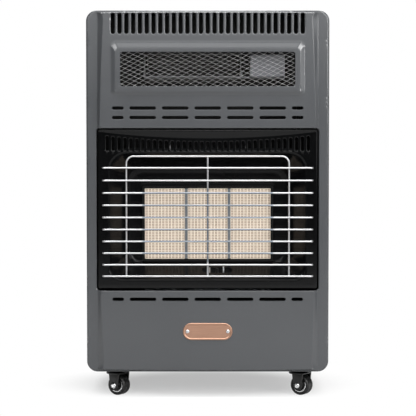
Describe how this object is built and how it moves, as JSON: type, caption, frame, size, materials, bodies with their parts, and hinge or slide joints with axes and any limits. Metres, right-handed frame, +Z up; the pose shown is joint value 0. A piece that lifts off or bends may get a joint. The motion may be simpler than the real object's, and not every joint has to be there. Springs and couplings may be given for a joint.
{
  "type": "portable gas cabinet heater",
  "caption": "Upright gas heater cabinet on swivel casters, with a radiant ceramic burner behind a wire guard, a blower behind a mesh, and a rear bay for the bottle.",
  "frame": {"origin": "on the floor, under the middle of the whole heater", "axes": "+Z up, +X to the right seen from the front, -Y towards the viewer in front"},
  "size_m": [0.45, 0.41, 0.718],
  "materials": {
    "body_enamel": "satin dark grey enamel",
    "black_enamel": "glossy black heat-proof enamel",
    "galvanised_steel": "bare galvanised sheet",
    "stretched_mesh": "light grey stretched sheet",
    "chromed_wire": "bright chromed wire",
    "plaque_ceramic": "unglazed cream ceramic",
    "aluminium": "drawn",
    "brass": "turned",
    "spark_ceramic": "white ceramic",
    "probe_steel": "zinc-plated",
    "black_plastic": "fine-grained moulding",
    "red_plastic": "smooth moulding",
    "badge_copper": "brushed copper with a plain face",
    "caster_steel": "bright zinc",
    "caster_black": "black-passivated pressing",
    "caster_tread": "moulded black nylon with pale rings"
  },
  "bodies": {
    "root": {"front_fascia": "body_enamel", "side_panel_left": "body_enamel", "side_panel_right": "body_enamel", "top_panel": "body_enamel", "burner_bezel": "black_enamel", "reflector_pan": "black_enamel", "base_tray": "galvanised_steel", "divider_panel": "galvanised_steel", "plaque_frame": "galvanised_steel", "burner_plenum": "galvanised_steel", "pilot_bracket": "galvanised_steel", "blower_housing": "galvanised_steel", "blower_motor": "galvanised_steel", "mesh_panel": "stretched_mesh", "guard_bars": "chromed_wire", "guard_hoop": "chromed_wire", "plaque_left": "plaque_ceramic", "plaque_centre": "plaque_ceramic", "plaque_right": "plaque_ceramic", "gas_manifold": "aluminium", "supply_tube": "aluminium", "gas_valve": "brass", "hose_tail": "brass", "pilot_burner": "brass", "blower_bearing": "brass", "spark_electrode": "spark_ceramic", "thermocouple": "probe_steel", "badge_rivets": "probe_steel", "control_well": "black_plastic", "igniter_body": "black_plastic", "switch_frame": "black_plastic", "handle_cup_left": "black_plastic", "handle_cup_right": "black_plastic", "cable_gland": "black_plastic", "badge_plate": "badge_copper", "caster_plate_front_left": "caster_black", "caster_plate_front_right": "caster_black", "caster_plate_rear_left": "caster_black", "caster_plate_rear_right": "caster_black"},
    "blower": {"blower_impeller": "aluminium"},
    "knob_push": {"valve_spindle": "probe_steel"},
    "knob_turn": {"control_knob": "black_plastic"},
    "igniter": {"igniter_button": "red_plastic"},
    "rocker": {"switch_rocker": "red_plastic"},
    "cover": {"rear_cover": "body_enamel", "cover_screws": "probe_steel"},
    "swivel_front_left": {"caster_fork_front_left": "caster_black", "caster_axle_front_left": "caster_steel"},
    "wheel_front_left": {"caster_wheel_front_left": "caster_tread"},
    "swivel_front_right": {"caster_fork_front_right": "caster_black", "caster_axle_front_right": "caster_steel"},
    "wheel_front_right": {"caster_wheel_front_right": "caster_tread"},
    "swivel_rear_left": {"caster_fork_rear_left": "caster_black", "caster_axle_rear_left": "caster_steel"},
    "wheel_rear_left": {"caster_wheel_rear_left": "caster_tread"},
    "swivel_rear_right": {"caster_fork_rear_right": "caster_black", "caster_axle_rear_right": "caster_steel"},
    "wheel_rear_right": {"caster_wheel_rear_right": "caster_tread"}
  },
  "joints": [
    {"name": "blower_spin", "type": "hinge", "parent": "root", "child": "blower", "pos_m": [0, -0.1398, 0.617], "axis": [1, 0, 0], "continuous": true},
    {"name": "knob_press", "type": "slide", "parent": "root", "child": "knob_push", "axis": [0, 0, -1], "range_m": [0, 0.004], "stiffness_N_per_m": 1500, "springref_m": -0.003},
    {"name": "knob_rotate", "type": "hinge", "parent": "knob_push", "child": "knob_turn", "pos_m": [0.155, 0.105, 0.7], "axis": [0, 0, 1], "range_deg": [0, 210]},
    {"name": "igniter_press", "type": "slide", "parent": "root", "child": "igniter", "axis": [0, 0, -1], "range_m": [0, 0.005], "stiffness_N_per_m": 1200, "springref_m": -0.003},
    {"name": "rocker_tip", "type": "hinge", "parent": "root", "child": "rocker", "pos_m": [0.09, 0.084, 0.6936], "axis": [1, 0, 0], "range_deg": [-8, 8]},
    {"name": "cover_pull", "type": "slide", "parent": "root", "child": "cover", "axis": [0, 1, 0], "range_m": [0, 0.35]},
    {"name": "swivel_front_left_turn", "type": "hinge", "parent": "root", "child": "swivel_front_left", "pos_m": [-0.172, -0.157, 0.0428], "axis": [0, 0, 1], "continuous": true},
    {"name": "wheel_front_left_roll", "type": "hinge", "parent": "swivel_front_left", "child": "wheel_front_left", "pos_m": [-0.16686, -0.16009, 0.019], "axis": [-0.515, -0.8572, 0], "continuous": true},
    {"name": "swivel_front_right_turn", "type": "hinge", "parent": "root", "child": "swivel_front_right", "pos_m": [0.172, -0.157, 0.0428], "axis": [0, 0, 1], "continuous": true},
    {"name": "wheel_front_right_roll", "type": "hinge", "parent": "swivel_front_right", "child": "wheel_front_right", "pos_m": [0.17714, -0.16009, 0.019], "axis": [-0.515, -0.8572, 0], "continuous": true},
    {"name": "swivel_rear_left_turn", "type": "hinge", "parent": "root", "child": "swivel_rear_left", "pos_m": [-0.172, 0.145, 0.0428], "axis": [0, 0, 1], "continuous": true},
    {"name": "wheel_rear_left_roll", "type": "hinge", "parent": "swivel_rear_left", "child": "wheel_rear_left", "pos_m": [-0.16686, 0.14191, 0.019], "axis": [-0.515, -0.8572, 0], "continuous": true},
    {"name": "swivel_rear_right_turn", "type": "hinge", "parent": "root", "child": "swivel_rear_right", "pos_m": [0.172, 0.145, 0.0428], "axis": [0, 0, 1], "continuous": true},
    {"name": "wheel_rear_right_roll", "type": "hinge", "parent": "swivel_rear_right", "child": "wheel_rear_right", "pos_m": [0.17714, 0.14191, 0.019], "axis": [-0.515, -0.8572, 0], "continuous": true}
  ]
}
